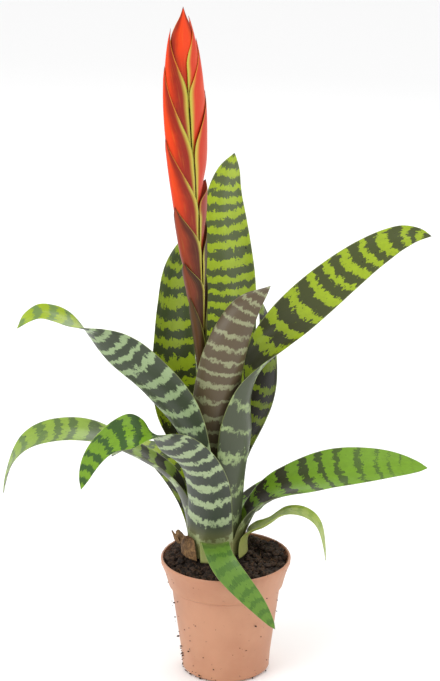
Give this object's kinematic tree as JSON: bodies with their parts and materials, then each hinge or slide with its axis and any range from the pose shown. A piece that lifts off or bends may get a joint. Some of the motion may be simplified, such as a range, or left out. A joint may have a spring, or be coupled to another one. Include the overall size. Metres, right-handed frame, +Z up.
{
  "type": "potted bromeliad",
  "caption": "Bromeliad with arching banded strap leaves and an upright sword-shaped flower spike, growing in a small round tapered nursery pot.",
  "frame": {"origin": "centre of the pot's flat underside", "axes": "+Z up along the pot's axis; -Y to the front; +X to the right as seen from the front"},
  "size_m": [0.296, 0.2217, 0.4645],
  "materials": {
    "sword_bract": "satin",
    "dry_sheath": "matte",
    "leaf_back_left": "satin",
    "leaf_back_tall": "satin",
    "leaf_front_fold": "satin",
    "leaf_front_hanging": "satin",
    "leaf_heart": "satin",
    "leaf_left_long": "satin",
    "leaf_left_low": "satin",
    "leaf_rear": "satin",
    "leaf_rear_left": "satin",
    "leaf_rear_right": "satin",
    "leaf_right_long": "satin",
    "leaf_right_low": "satin",
    "leaf_right_small": "satin",
    "leaf_right_upright": "satin",
    "pot": "matte",
    "scape": "satin",
    "stalk_bract": "satin",
    "soil": "matte"
  },
  "bodies": {
    "root": {"bract_01": "sword_bract", "bract_02": "sword_bract", "bract_03": "sword_bract", "bract_04": "sword_bract", "bract_05": "sword_bract", "bract_06": "sword_bract", "bract_07": "sword_bract", "bract_08": "sword_bract", "bract_09": "sword_bract", "bract_10": "sword_bract", "bract_11": "sword_bract", "dry_sheath": "dry_sheath", "leaf_back_left": "leaf_back_left", "leaf_back_tall": "leaf_back_tall", "leaf_front_fold": "leaf_front_fold", "leaf_front_hanging": "leaf_front_hanging", "leaf_heart": "leaf_heart", "leaf_left_long": "leaf_left_long", "leaf_left_low": "leaf_left_low", "leaf_rear": "leaf_rear", "leaf_rear_left": "leaf_rear_left", "leaf_rear_right": "leaf_rear_right", "leaf_right_long": "leaf_right_long", "leaf_right_low": "leaf_right_low", "leaf_right_small": "leaf_right_small", "leaf_right_upright": "leaf_right_upright", "pot": "pot", "scape": "scape", "scape_bract_1": "stalk_bract", "scape_bract_2": "stalk_bract", "scape_bract_3": "stalk_bract", "scape_bract_4": "stalk_bract", "scape_bract_5": "stalk_bract", "scape_bract_6": "stalk_bract", "soil": "soil"}
  },
  "joints": []
}
